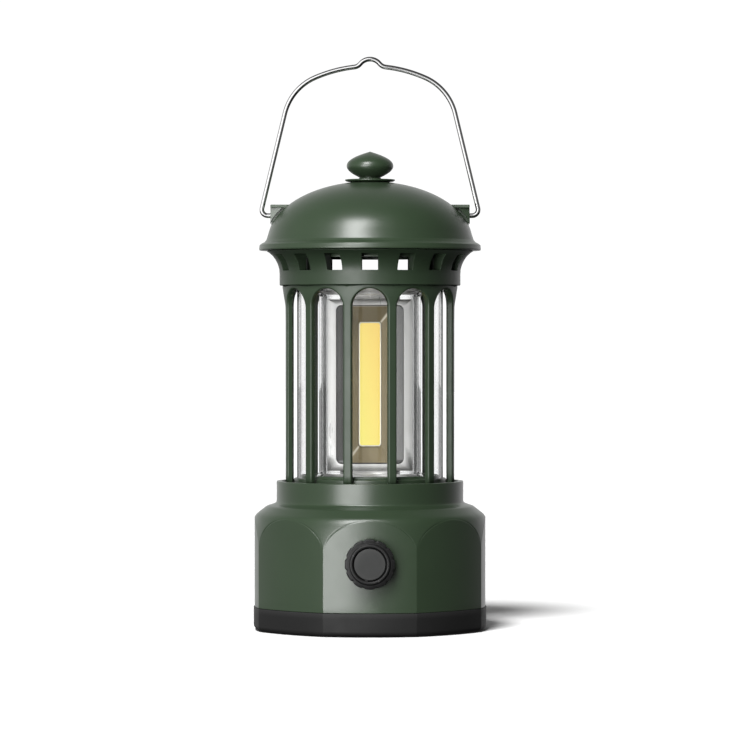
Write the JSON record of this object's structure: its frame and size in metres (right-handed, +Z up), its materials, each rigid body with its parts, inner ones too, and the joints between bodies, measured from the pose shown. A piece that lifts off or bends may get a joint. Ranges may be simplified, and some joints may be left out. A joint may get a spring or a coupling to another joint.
{
  "type": "camping lantern",
  "caption": "Battery camping lantern in an old lighthouse style: domed cage round a lit LED core, dimmer knob on a faceted base and a swinging wire bail.",
  "frame": {"origin": "middle of the foot, on the lantern's axis, at the level it stands on", "axes": "+Z up the lantern's axis, -Y towards the dimmer knob, +X to the right seen from the knob's side"},
  "size_m": [0.0932, 0.0991, 0.2289],
  "materials": {
    "green_plastic": "fine satin moulded plastic",
    "black_plastic": "fine matt moulded plastic",
    "grey_disc": "satin disc",
    "clear_plastic": "clear, polished",
    "silver_plate": "bright satin plating",
    "led_yellow": "phosphor gel, lit",
    "bail_wire": "polished steel wire",
    "screw_steel": "zinc plated",
    "contact_brass": "plated strip",
    "cell_sleeve": "plain printed sleeve, no marks",
    "board_green": "solder mask",
    "board_black": "component bodies",
    "lead_red": "insulated wire"
  },
  "bodies": {
    "lantern": {"bottom_cover": "black_plastic", "base_housing": "green_plastic", "battery_holder": "black_plastic", "battery_cells": "cell_sleeve", "battery_springs": "screw_steel", "battery_contacts": "contact_brass", "driver_board": "board_green", "board_parts": "board_black", "board_screws": "screw_steel", "dimmer_pot": "screw_steel", "pot_washer": "screw_steel", "pot_nut": "screw_steel", "pot_ribbon": "board_black", "lamp_deck": "green_plastic", "cage": "green_plastic", "liner_tube": "clear_plastic", "lamp_tube": "clear_plastic", "reflector_core": "silver_plate", "cob_strip_1": "led_yellow", "cob_strip_2": "led_yellow", "cob_strip_3": "led_yellow", "top_plate": "silver_plate", "gallery_ring": "green_plastic", "roof_cap": "green_plastic", "finial": "green_plastic", "finial_screw": "screw_steel", "base_screws": "screw_steel", "cage_screws": "screw_steel", "roof_screws": "screw_steel", "battery_leads": "lead_red", "lamp_leads": "lead_red"},
    "bail": {"bail_handle": "bail_wire"},
    "dimmer": {"dimmer_knob": "black_plastic", "knob_cap": "grey_disc", "dimmer_shaft": "screw_steel"},
    "door": {"battery_door": "black_plastic"}
  },
  "joints": [
    {"name": "bail_swing", "type": "hinge", "parent": "lantern", "child": "bail", "pos_m": [0, 0, 0.1653], "axis": [1, 0, 0], "range_deg": [-110, 110]},
    {"name": "dimmer_turn", "type": "hinge", "parent": "lantern", "child": "dimmer", "pos_m": [0, -0.0495, 0.0286], "axis": [0, 1, 0], "range_deg": [0, 270]},
    {"name": "door_open", "type": "hinge", "parent": "lantern", "child": "door", "pos_m": [0, 0.0266, 0.0012], "axis": [1, 0, 0], "range_deg": [0, 95]}
  ]
}
